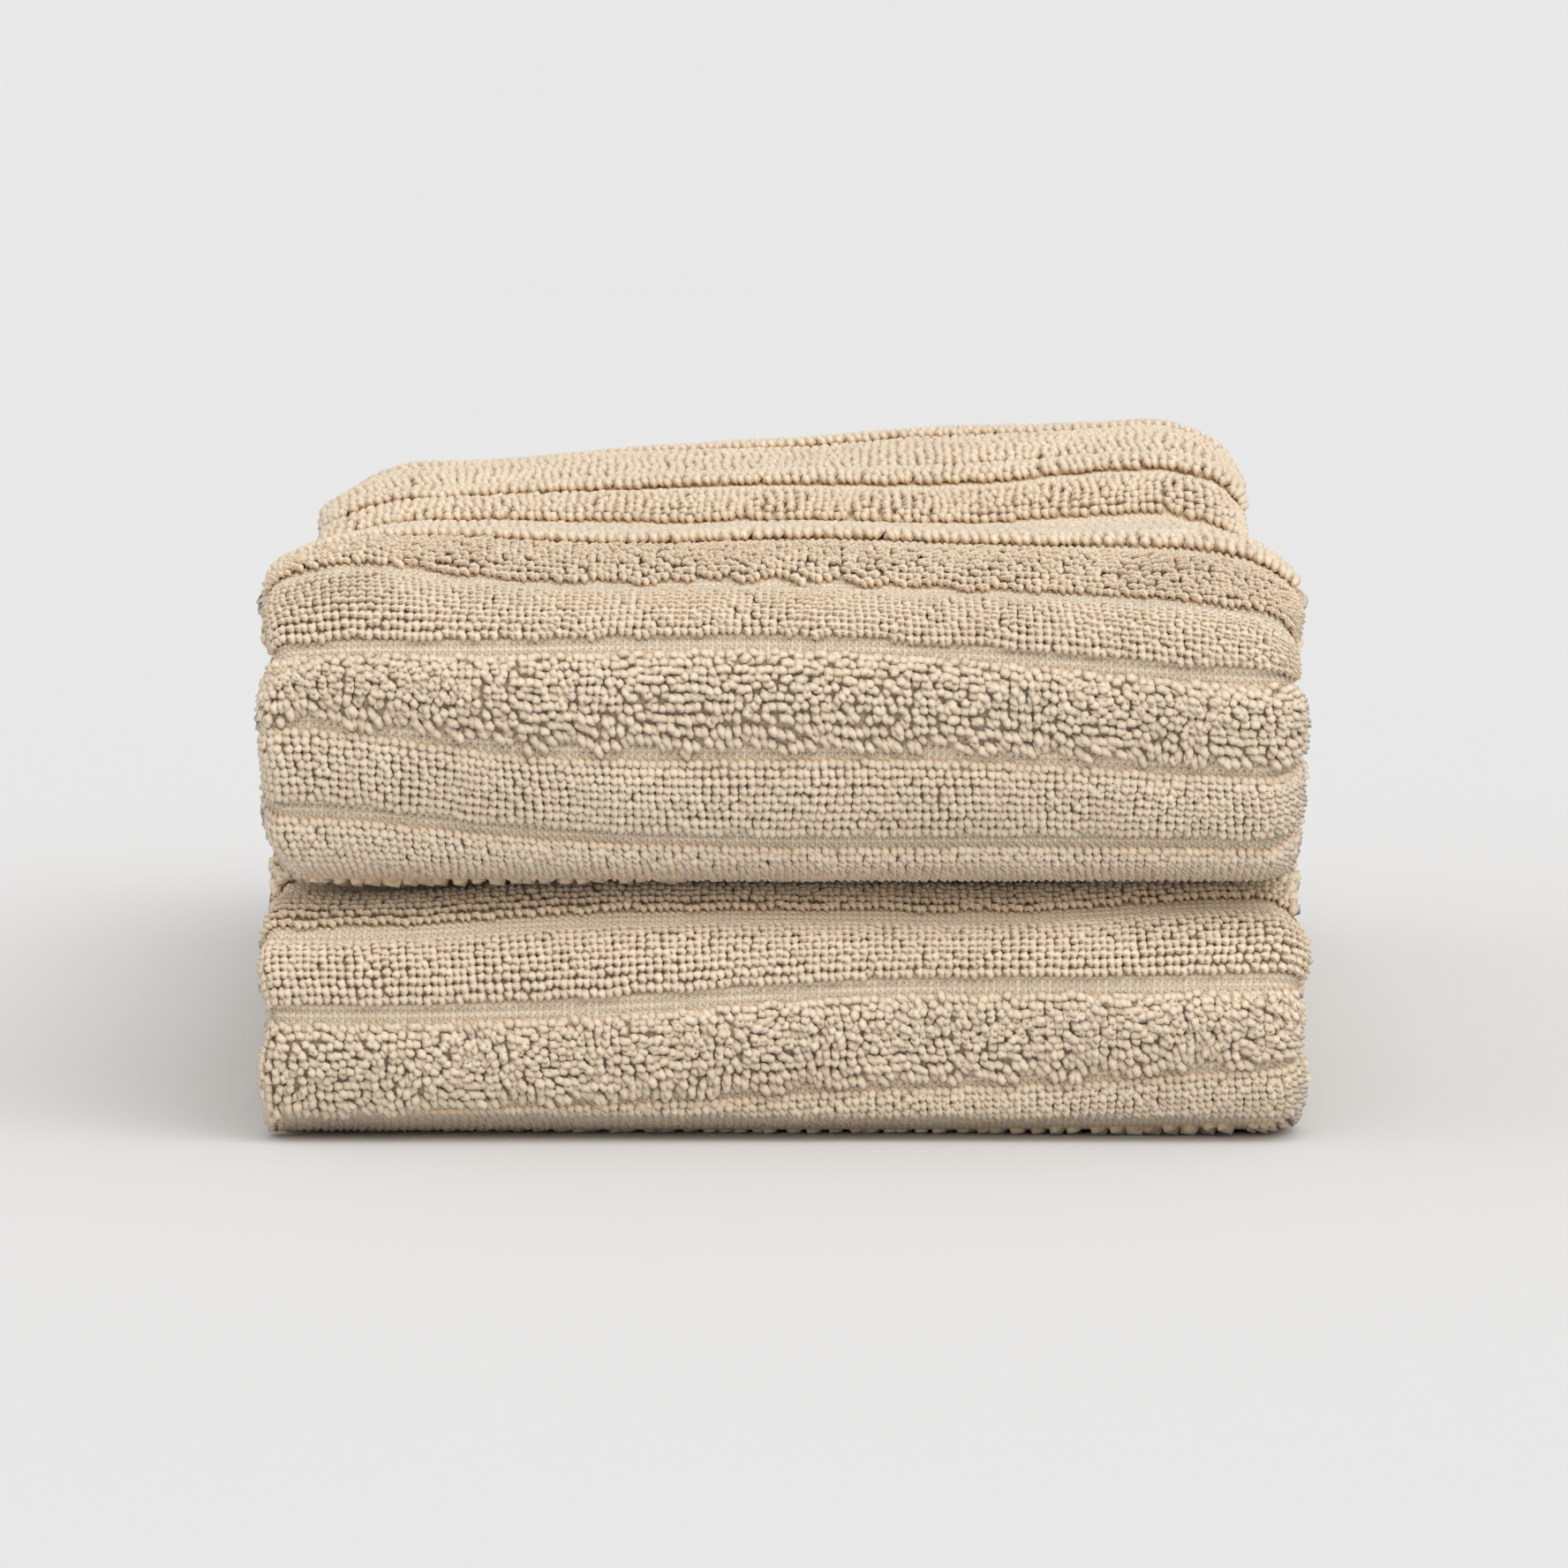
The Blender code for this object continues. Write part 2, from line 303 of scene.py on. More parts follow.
class Towel:
    """Where one folded towel's cloth runs, worked out from its two leaves in the frame."""

    def __init__(self, name):
        low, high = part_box(f"{name}_top_leaf")
        under_low, under_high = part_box(f"{name}_bottom_leaf")
        self.name, self.upper = name, name == "upper_towel"
        self.base, self.lid = name.replace("towel", "base"), name.replace("towel", "lid")
        self.front, self.back = low[1], high[1]
        self.bottom, self.top = under_low[2], high[2]
        self.middle = (low[2] + under_high[2]) / 2
        self.width = high[0] - low[0]
        self.strip = (self.top - self.middle) / 2 - RUN_GAP
        self.layer = self.strip / LAYERS
        self.inner = RUN_GAP + self.strip / 2
        self.outer = self.inner + self.strip + RUN_GAP
        self.back_turn = (self.outer - self.inner) / 2
        self.turn_y = self.front + self.outer + self.strip / 2
        self.end_y = self.back - self.back_turn - self.strip / 2
        run = self.end_y - self.turn_y
        turns = [math.pi * r for r in (self.outer, self.back_turn, self.inner)]
        self.lengths = [run, turns[0], run, turns[1], run, turns[2], run]
        self.starts = np.concatenate([[0.0], np.cumsum(self.lengths)])
        self.left = -self.width / 2 + self.layer  # where the flat of the strip ends
        self.right = self.width / 2 - 2 * self.layer

    def line(self, s):
        """The strip's middle line at distances from its outer end, and which way its outer
        side looks there."""
        s = np.clip(s, 0, self.starts[-1])
        part = np.clip(np.searchsorted(self.starts, s, side="right") - 1, 0, 6)
        on = s - self.starts[part]
        y, z, ny, nz = (np.zeros(len(s)) for _ in range(4))
        for k, height, way in ((0, -self.outer, -1), (2, self.outer, 1),
                               (4, self.inner, -1), (6, -self.inner, 1)):
            here = part == k
            y[here] = (self.turn_y if way > 0 else self.end_y) + way * on[here]
            z[here], nz[here] = self.middle + height, way
        back_z = self.middle + (self.outer + self.inner) / 2
        for k, cy, cz, radius, start, way, side in (
            (1, self.turn_y, self.middle, self.outer, 1.5 * math.pi, -1, 1),
            (3, self.end_y, back_z, self.back_turn, 0.5 * math.pi, -1, 1),
            (5, self.turn_y, self.middle, self.inner, 0.5 * math.pi, 1, -1),
        ):
            here = part == k
            angle = start + way * on[here] / radius
            y[here], z[here] = cy + radius * np.cos(angle), cz + radius * np.sin(angle)
            ny[here], nz[here] = side * np.cos(angle), side * np.sin(angle)
        return y, z, ny, nz

    def place(self, x, h, s):
        """Settled places of points: x across the strip, h to its outer side and s along it."""
        y, z, ny, nz = self.line(s)
        return self.settle(np.column_stack([x, y + h * ny, z + h * nz]))

    def skin(self, face, q, s, depth):
        """Points under the strip's outer (1) or inner (-1) face, q across it and round its
        sides."""
        t = self.layer
        over = np.maximum(self.left - q, 0) / t
        past = np.maximum(q - self.right, 0) / (2 * t)
        x = np.clip(q, self.left, self.right)
        x = x - (t - depth) * np.sin(over) + (2 * t - depth) * np.sin(past)
        h = np.where(over > 0, t + (t - depth) * np.cos(over), (2 * t - depth) * np.cos(past))
        return self.place(x, face * h, s)

    def settle(self, p):
        """The soft shaping of the folded towel: it sinks, squares up its foot and sways."""
        p = p.copy()
        behind = (p[:, 1] - self.front) / MM
        side = np.clip(p[:, 0] / (self.width / 2), -1, 1)
        over = np.maximum(p[:, 2] - self.middle, 0) / (self.top - self.middle)
        under = np.maximum(self.middle - p[:, 2], 0) / (self.middle - self.bottom)
        self.sink(p, behind, side, over)
        self.square_up(p, behind, over, under)
        self.sway(p, behind, side, over, under)
        return p

    def sink(self, p, behind, side, over):
        """Lowers what lies over the opening plane, and rounds off the upper towel's sides."""
        table = np.array(SETTLED[self.name])
        left, mid, right = (between(behind, table[:, 0], table[:, k]) for k in (1, 2, 3))
        aside = rise(np.abs(side), 0, 0.9)
        share = mid + (np.where(side < 0, left, right) - mid) * aside
        if self.upper:
            from_edge = np.abs(p[:, 0]) - self.width / 2 + SHOULDER
            shoulder = np.clip(from_edge / SHOULDER, 0, 1.1)
            share -= (SHOULDER_DROP + DROP_BEHIND * rise(behind, 230, 320)) * shoulder**2
            share = np.maximum(share, LEAST_SHARE)
        soft = waves(p * (1, 1, 0.5), 0.030, 11 + len(self.name))
        p[:, 2] += (over**1.35 * (share - 1) * (self.top - self.middle)
                    + TOP_WAVE * soft * over**2)

    def square_up(self, p, behind, over, under):
        """Draws the front's foot forward, and shapes the edge that it rests on."""
        radius = self.outer + self.strip / 2
        foot = radius * (1 - np.sqrt(np.maximum(1 - under**2, 0)))
        forward = (0.9 if self.upper else 0.8) * foot * (1 - 0.45 * under**8)
        p[:, 1] -= forward * (1 - rise(behind, radius / MM, 3 * radius / MM))
        if self.upper:
            near = 1 - rise((p[:, 1] - self.front) / MM, 8, 34)
            p[:, 2] -= FOOT_SAG * under**2 * near
        else:
            p[:, 1] += TOP_DRAWN_BACK * rise(over, 0.55, 0.95) * (1 - rise(behind, 12, 70))
            near = 1 - rise((p[:, 1] - self.front) / MM, 4, 15)
            p[:, 2] += FOOT_CURL * rise(under, 0.7, 0.95) * near

    def sway(self, p, behind, side, over, under):
        """Waves the sides and the front, spreads the upper towel and leans its left side."""
        seed = 5 if self.upper else 8
        edge = waves(p[:, 1:] * (1, 1.6), 0.022, seed) * side**4
        p[:, 0] += SIDE_WAVE * edge * np.sign(side) * (1 - under**4)
        p[:, 1] += FRONT_WAVE * waves(p * (1, 0.2, 1), 0.035, seed + 1) * (1 - under**4)
        if self.upper:
            p[:, 0] *= 1 + SPREAD * rise(behind, 150, 300) * over
            corner = FOOT_DRAWN_IN * rise(under, 0.55, 1.0) * (1 - rise(behind, 20, 70))
            fold = FOLD_LEAN * rise(under, 0.05, 0.4) * rise(behind, 30, 110)
            fold *= 1 - rise(behind, 200, 320)
            p[:, 0] += (corner - fold) * np.minimum(side, 0) ** 4

    def round_front(self, degrees):
        """The distance along the strip at an angle round the front fold, up from level."""
        return self.starts[1] + (np.radians(degrees) + math.pi / 2) * self.outer


# ------------ making meshes


def deselect_all():
    if bpy.context.mode != "OBJECT":
        bpy.ops.object.mode_set(mode="OBJECT")
    bpy.ops.object.select_all(action="DESELECT")


def fill(data, key, values, kind=np.float32):
    data.foreach_set(key, np.asarray(values, kind).ravel())


class Yarn:
    """One loop of two-ply yarn, modelled once: a ball drawn out along Y, filled out at its
    ends, drawn in between its plies and twisted. It is one unit long and two units thick."""

    def __init__(self, segments, rings):
        deselect_all()
        bpy.ops.mesh.primitive_uv_sphere_add(
            segments=segments, ring_count=rings + 1, radius=1.0, rotation=(math.pi / 2, 0, 0))
        obj = bpy.context.object
        bpy.ops.object.transform_apply(location=False, rotation=True, scale=False)
        heights = sorted({round(v.co.y, 4) for v in obj.data.vertices})
        bpy.ops.object.mode_set(mode="EDIT")
        for place, height in enumerate(heights[1:-1], start=1):
            share = place / (rings + 1)
            full = math.sin(math.pi * share) ** YARN_FULLNESS / math.sin(math.pi * share)
            self.select_ring(obj, height)
            bpy.ops.transform.resize(value=(YARN_WIDTH * full, 1, YARN_HEIGHT * full))
            if segments >= WAIST_SIDES:
                self.select_ring(obj, height, waist=True)
                bpy.ops.transform.resize(value=(1, 1, WAIST_HEIGHT))
                self.select_ring(obj, height)
            bpy.ops.transform.rotate(value=YARN_TWIST * (share - 0.5), orient_axis="Y",
                                     center_override=(0, height, 0))
            bpy.ops.transform.translate(value=(0, 2 * share - 1 - height, 0))
        bpy.ops.mesh.select_all(action="SELECT")
        bpy.ops.transform.resize(value=(1, 0.5, 1), center_override=(0, 0, 0))
        bpy.ops.object.mode_set(mode="OBJECT")
        mesh = obj.data
        self.points = np.array([v.co for v in mesh.vertices])
        # The faces come in any order; sorted, they give one result on every run
        faces = sorted(mesh.polygons, key=lambda face: sorted(face.vertices))
        corners = [k for face in faces for k in face.loop_indices]
        self.corners = np.array([mesh.loops[k].vertex_index for k in corners])
        self.starts = np.cumsum([0] + [face.loop_total for face in faces[:-1]])
        self.uvs = np.array([mesh.uv_layers[0].data[k].uv for k in corners])
        bpy.data.objects.remove(obj)
        bpy.data.meshes.remove(mesh)

    @staticmethod
    def select_ring(obj, height, waist=False):
        """Selects one ring of the ball, or only what lies between the two plies."""
        bpy.ops.mesh.select_all(action="DESELECT")
        bpy.ops.object.mode_set(mode="OBJECT")
        for v in obj.data.vertices:
            v.select = abs(v.co.y - height) < 0.001 and not (waist and abs(v.co.x) > 0.001)
        bpy.ops.object.mode_set(mode="EDIT")


YARNS = {}


def yarn(segments, rings):
    """The modelled loop at one fineness, made when it is first asked for."""
    if (segments, rings) not in YARNS:
        YARNS[segments, rings] = Yarn(segments, rings)
    return YARNS[segments, rings]


def plant(name, roots, frames, shape, pattern, material):
    """One mesh of yarn loops, each a copy of the pattern on its own root. frames are the
    directions across, along and out of the cloth, and shape holds each loop's length, height,
    radius, turn, lean, skew and tone."""
    across, along, out = frames
    turn = shape["turn"][:, None]
    e1 = across * np.cos(turn) + along * np.sin(turn)
    up = along * np.cos(turn) - across * np.sin(turn)
    count, corners = len(roots), len(pattern.points)
    points = np.empty((count, corners, 3))
    for k, (x, y, z) in enumerate(pattern.points):
        t = min(max(0.5 - y, 0.0), 1.0)
        bend = BEND * t**BEND_LATE
        droop = shape["lean"] * shape["length"] * t**2 * 0.5
        high = (shape["height"] * (FOOT_HEIGHT + BEND_HEIGHT * math.sin(bend))
                - DROOP_LOWERS * droop)
        aside = SKEW_ASIDE * shape["length"] * (t - 0.5) * shape["skew"]
        steep = BEND_HEIGHT * BEND * BEND_LATE * t ** (BEND_LATE - 1) * math.cos(bend)
        lift = np.arctan(steep * shape["height"] / shape["length"])[:, None]
        radius = shape["radius"] * (FOOT_RADIUS + RADIUS_GAIN * t)
        e2 = out * np.cos(lift) + up * np.sin(lift)
        centre = roots + up * (shape["length"] * y - droop)[:, None] + out * high[:, None]
        points[:, k] = (centre + e1 * (aside + radius * x)[:, None]
                        + e2 * (radius * z)[:, None])
    depth = np.einsum("ijk,ik->ij", points - roots[:, None], out)
    points[:, :, 2] = np.maximum(points[:, :, 2], FLOOR_CLEARANCE)
    mesh = bpy.data.meshes.new(name)
    mesh.vertices.add(count * corners)
    fill(mesh.vertices, "co", points)
    index = pattern.corners[None, :] + corners * np.arange(count)[:, None]
    mesh.loops.add(index.size)
    fill(mesh.loops, "vertex_index", index, np.int32)
    starts = pattern.starts[None, :] + len(pattern.corners) * np.arange(count)[:, None]
    mesh.polygons.add(starts.size)
    fill(mesh.polygons, "loop_start", starts, np.int32)
    mesh.update(calc_edges=True)
    mesh.shade_smooth()
    fill(mesh.uv_layers.new(name="yarn").data, "uv", np.tile(pattern.uvs, (count, 1)))
    for key, values in (("tone", np.repeat(shape["tone"], corners)), ("over_root", depth / MM)):
        fill(mesh.attributes.new(key, "FLOAT", "POINT").data, "value", values)
    obj = bpy.data.objects.new(name, mesh)
    bpy.context.scene.collection.objects.link(obj)
    mesh.materials.append(material)
    return obj


# ------------ pile


def groove_lines(towel):
    """The grooves from hem to hem, each as its distance along the strip and its shifts at five
    places across, and which of them is the front's lowest."""
    pitch = terry().rib_pitch
    lines = []
    for angles in FRONT_GROOVES[towel.name]:
        along = towel.round_front(np.array(angles, float))
        lines.append((along[2], along - along[2]))
    before, after = [], []
    s, shift = lines[0]
    while s - pitch > HEM_LENGTH + CLEAR_OF_HEM:
        s, shift = s - pitch, shift * 0.7
        before.insert(0, (s, shift))
    s, shift = lines[-1]
    count = 0
    while True:
        s, shift = s + pitch / stretch_of(towel, s + pitch / 2), shift * 0.7
        count += 1
        if s > towel.starts[-1] - HEM_LENGTH - CLEAR_OF_HEM:
            break
        if count != WIDE_RIB + 1:
            after.append((s, shift))
    hems = [(end, np.zeros(5)) for end in (HEM_LENGTH, towel.starts[-1] - HEM_LENGTH)]
    return hems[:1] + before + lines + after + hems[1:], 1 + len(before)


def groove_at(towel, groove, q):
    """The groove's distance along the strip at places across it."""
    places = np.linspace(-1, 1, 5)
    middle, shift = groove
    wander = 0.0005 * np.sin(q / 0.019 + middle * 90)
    return middle + between(np.clip(q / (towel.width / 2), -1, 1), places, shift) + wander


def stretch_of(towel, s, face=1):
    """How much longer the strip's face is than its middle line at a distance along it."""
    part = int(np.searchsorted(towel.starts, s, side="right")) - 1
    radius = {1: towel.outer, 3: towel.back_turn, 5: -towel.inner}.get(part)
    return 1.0 if radius is None else max(0.12, 1 + face * towel.strip / 2 / radius)


def frames_at(towel, face, q, s, depth):
    """Roots under the face, and the directions across, along and out of it."""
    step = 0.0002
    roots = towel.skin(face, q, s, depth)
    across = unit(towel.skin(face, q + step, s, depth) - towel.skin(face, q - step, s, depth))
    along = towel.skin(face, q, s + step, depth) - towel.skin(face, q, s - step, depth)
    out = unit(np.cross(across, unit(along) * face))
    return roots, (across, unit(np.cross(out, across)), out)


class Pile:
    """Loops gathered for one zone of a towel, then planted as one piece for each leaf."""

    def __init__(self, towel, name, fineness, material="terry_loops"):
        self.towel, self.name, self.fineness = towel, name, fineness
        self.material, self.parts = material, []

    def columns(self, pitch):
        """Places across the towel, a pitch apart, from round its left side to its right."""
        left = self.towel.left - self.towel.layer * math.radians(REACH_LEFT)
        right = self.towel.right + 2 * self.towel.layer * math.radians(REACH_RIGHT)
        return np.arange(left + pitch / 2, right, pitch)

    def add(self, q, s, face, lift, shape):
        """Gathers loops lifted off the ground cloth, pressed down where they bear weight."""
        depth = self.towel.layer / 2 - ROOT_OVER_GROUND
        roots, frames = frames_at(self.towel, face, q, s, depth)
        faces_up = frames[2][:, 2]
        pressed = rise(-faces_up, 0.45, 0.92)
        if not self.towel.upper:
            pressed = np.maximum(pressed, rise(faces_up, 0.95, 1.0))
        lift = lift * (1 - pressed) - 0.3 * MM * pressed
        shape["height"] = shape["height"] * (1 - 0.6 * pressed)
        below = self.towel.line(s)[1] < self.towel.middle
        shape["tone"] = shape["tone"] + 0.10 * waves(roots, 0.02, 9)
        self.parts.append((roots + frames[2] * lift[:, None], frames, below, shape))

    def add_rib(self, face, lower, upper, coarse, tousle, seed, where="all"):
        """One rib between two grooves: all of it, its flat alone or its two sides alone."""
        towel, settings = self.towel, terry()
        random = np.random.default_rng(seed)
        pitch, row_pitch = settings.column_pitch * coarse, settings.row_pitch * coarse
        q0 = self.columns(pitch)
        at_side = (q0 < towel.left + SIDE_REACHES_IN) | (q0 > towel.right - SIDE_REACHES_IN)
        if where != "all":
            q0 = q0[at_side if where == "sides" else ~at_side]
        groove = settings.groove_width / 2
        middle = (lower[0] + upper[0]) / 2
        stretch = stretch_of(towel, middle, face)
        low = groove_at(towel, lower, q0) + groove / stretch
        high = groove_at(towel, upper, q0) - groove / stretch
        rows = round(float(np.mean(high - low)) * stretch / row_pitch * (1 + 0.12 * tousle))
        if rows < 1:
            return
        share = np.repeat((np.arange(rows) + 0.5) / rows, len(q0))
        q = np.tile(q0, rows)
        s = np.tile(low, rows) + np.tile(high - low, rows) * share
        count = len(q)
        spread = 0.10 + 0.25 * tousle
        q = q + pitch * (0.6 * spread * random.normal(size=count)
                         + 0.35 * waves(np.column_stack([q, s]), 0.012, seed + 7))
        s = s + row_pitch / stretch * 0.5 * spread * random.normal(size=count)
        # The lowest loops of a tousled rib hang over the groove below
        edge = np.clip((0.40 - share) / 0.40, 0, 1) ** 1.5 * (face > 0)
        hang = 1 + 1.9 * random.random(count) + waves(q[:, None], 0.007, seed + 5)
        s = s - MM / stretch * tousle * edge * np.maximum(hang, 0)
        # The loops stand high over most of the rib and lie low at its edges
        crown = 1 - share**5 - 0.5 * (1 - share) ** 12
        lift = crown - 0.4 + 0.15 * tousle * random.normal(size=count)
        # All loops slant a little, and tousled ones turn in patches
        field = waves(np.column_stack([q, s * stretch]), 0.011, seed + 3)
        turn = (0.10 + 0.16 * tousle) * random.normal(size=count) + 0.55 * tousle * field
        turn += 0.28 + 0.5 * tousle
        grown = 1 + 0.08 * tousle + (0.04 + 0.10 * tousle) * random.normal(size=count)
        self.add(q, s, face, MM * lift, {
            "length": settings.loop_length * coarse * grown * (1 + 0.25 * tousle * edge),
            "height": settings.loop_height * coarse**0.5
            * (0.8 + 0.3 * crown + 0.3 * tousle * random.random(count)),
            "radius": settings.yarn_radius * coarse * (1 + 0.05 * random.normal(size=count)),
            "turn": turn * (1 - 0.6 * edge),
            "lean": 0.3 + 0.4 * edge * tousle + 0.15 * random.normal(size=count),
            "skew": random.choice([-1, 1], p=[0.15, 0.85], size=count)
            * (0.6 + 0.4 * random.random(count)),
            "tone": 0.5 + 0.16 * random.normal(size=count),
        })

    def add_groove(self, face, groove, seed):
        """The flat picks that show in a groove, as low rows of floats."""
        towel, settings = self.towel, terry()
        random = np.random.default_rng(seed)
        pitch = settings.column_pitch
        q0 = self.columns(pitch)
        stretch = stretch_of(towel, groove[0], face)
        row = settings.groove_width / GROOVE_ROWS
        for k in range(GROOVE_ROWS):
            offset = (k - (GROOVE_ROWS - 1) / 2) * row / stretch
            q = q0 + 0.04 * pitch * random.normal(size=len(q0))
            count = len(q)
            s = groove_at(towel, groove, q0) + offset
            self.add(q, s, face, np.zeros(count), {
                "length": np.full(count, row),
                "height": np.full(count, PICK_HEIGHT),
                "radius": np.full(count, pitch * PICK_RADIUS),
                "turn": 0.04 * random.normal(size=count),
                "lean": np.zeros(count),
                "skew": np.zeros(count),
                "tone": 0.42 + 0.06 * random.normal(size=count),
            })

    def finish(self):
        """Plants what was gathered: loops on cloth below the opening plane ride on the base,
        the rest on the lid."""
        roots = np.concatenate([part[0] for part in self.parts])
        frames = [np.concatenate([part[1][k] for part in self.parts]) for k in range(3)]
        below = np.concatenate([part[2] for part in self.parts])
        shape = {key: np.concatenate([part[3][key] for part in self.parts])
                 for key in self.parts[0][3]}
        made = []
        for leaf, body, mine in (("base", self.towel.base, below),
                                 ("lid", self.towel.lid, ~below)):
            if not mine.any():
                continue
            name = f"{self.towel.name}_{leaf}_{self.name}"
            piece = plant(name, roots[mine], [f[mine] for f in frames],
                          {key: value[mine] for key, value in shape.items()},
                          yarn(*self.fineness), material_named(self.material))
            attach(piece, body)
            made.append(piece)
        return made


# ------------ ground cloth


def layer_heights(towel, s):
    """How far the strip's inner and outer layers lie from its middle, at distances along it."""
    settings = terry()
    t = towel.layer
    hem_outer = 2 * t - HEM_INSET - settings.hem_thickness / 2
    from_end = np.minimum(s, towel.starts[-1] - s)
    hem = 1 - np.clip((from_end - HEM_LENGTH + 0.002) / 0.004, 0, 1)
    return (0.5 * t + (hem_outer / 3 - 0.5 * t) * hem,
            1.5 * t + (hem_outer - 1.5 * t) * hem, hem)


def marks_through(lengths, steps):
    """Distances from the start of a row of stretches, each cut into its number of steps."""
    marks, start = [0.0], 0.0
    for length, count in zip(lengths, steps):
        marks.extend(start + length * (np.arange(count) + 1) / count)
        start += length
    return marks


def across_marks(towel):
    """The cloth's columns: distances from one selvedge to the other, close together in the
    folds, and the lengths of the stretches between the folds."""
    t = towel.layer
    flat = towel.right - towel.left
    fold, spine = math.pi * t / 2, math.pi * 1.5 * t
    tucked = (FLAT_WIDTH - 2 * fold - spine - 2 * flat) / 2
    lengths = (tucked, fold, flat, spine, flat, fold, tucked)
    return np.array(marks_through(lengths, (16, 5, 18, 9, 18, 5, 16))), lengths


def along_marks(towel):
    """The cloth's rows: distances from one hem to the other, close together in the turns."""
    marks = marks_through(towel.lengths, (58, 26, 58, 16, 58, 16, 58))
    near_hems = [HEM_LENGTH + k * 0.001 for k in (-2, -1, 1, 2)]
    marks += near_hems + [towel.starts[-1] - near for near in near_hems]
    return np.sort(np.array(marks))


def fold_across(towel, u, lengths, inner, outer):
    """Places across the folded strip (x, h) for distances u from a selvedge."""
    ends = np.cumsum(lengths)
    x, h = np.zeros(len(u)), np.zeros(len(u))
    centre, radius = (inner + outer) / 2, (outer - inner) / 2
    left, right = towel.left, towel.right
    for side, start, first, last in ((-1, 0.0, ends[0], ends[1]),
                                     (1, ends[6], ends[5], ends[4])):
        way = -side
        tucked = start - u <= lengths[0] + 1e-9 if side > 0 else u <= first
        x[tucked] = left + (first - u[tucked]) * way
        h[tucked] = side * inner[tucked]
        turn = (u > first) & (u <= last) if side < 0 else (u < first) & (u >= last)
        angle = math.pi * (u[turn] - first) * way / lengths[1]
        x[turn] = left - radius[turn] * np.sin(angle)
        h[turn] = side * (centre[turn] - radius[turn] * np.cos(angle))
    for side, inside in ((-1, (u > ends[1]) & (u <= ends[2])),
                         (1, (u > ends[3]) & (u <= ends[4]))):
        on = u[inside] - ends[1] if side < 0 else ends[4] - u[inside]
        x[inside], h[inside] = left + on, side * outer[inside]
    spine = (u > ends[2]) & (u <= ends[3])
    angle = math.pi * (u[spine] - ends[2]) / lengths[3]
    x[spine] = right + outer[spine] * np.sin(angle)
    h[spine] = -outer[spine] * np.cos(angle)
    return x, h


def make_cloth(towel):
    """The towel's ground cloth: one flat sheet, folded in four across and in four along."""
    across, lengths = across_marks(towel)
    along = along_marks(towel)
    deselect_all()
    bpy.ops.mesh.primitive_grid_add(
        x_subdivisions=len(across) - 1, y_subdivisions=len(along) - 1, size=1)
    cloth = bpy.context.object
    cloth.name = cloth.data.name = f"{towel.name}_cloth"
    mesh = cloth.data
    flat = np.empty(len(mesh.vertices) * 3, np.float32)
    mesh.vertices.foreach_get("co", flat)
    cells = (len(across) - 1, len(along) - 1)
    column, row = np.rint((flat.reshape(-1, 3)[:, :2] + 0.5) * cells).astype(int).T
    u, s = across[column], along[row]
    inner, outer, hem = layer_heights(towel, s)
    x, h = fold_across(towel, u, lengths, inner, outer)
    fill(mesh.vertices, "co", towel.place(x, h, s))
    corners = np.empty(len(mesh.loops), np.int32)
    mesh.loops.foreach_get("vertex_index", corners)
    mesh.uv_layers[0].name = "cloth"
    fill(mesh.uv_layers[0].data, "uv", np.column_stack([u, s])[corners])
    settings = terry()
    group = cloth.vertex_groups.new(name="hem")
    ground = settings.ground_thickness / settings.hem_thickness
    for share in np.unique(hem):
        weight = ground + (1 - ground) * share
        group.add(np.flatnonzero(hem == share).tolist(), weight, "REPLACE")
    solid = cloth.modifiers.new("thickness", "SOLIDIFY")
    solid.thickness, solid.offset = settings.hem_thickness, 0
    solid.vertex_group = "hem"
    bpy.ops.object.modifier_apply(modifier=solid.name)
    cloth.vertex_groups.clear()
    deselect_all()
    bpy.context.view_layer.objects.active = cloth
    cloth.select_set(True)
    bpy.ops.object.mode_set(mode="EDIT")
    bpy.ops.mesh.select_all(action="SELECT")
    bpy.ops.mesh.normals_make_consistent(inside=False)
    bpy.ops.object.mode_set(mode="OBJECT")
    bpy.ops.object.shade_smooth()
    mesh.materials.append(material_named("ground"))
    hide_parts(f"{towel.name}_bottom_leaf", f"{towel.name}_top_leaf")
    return cloth


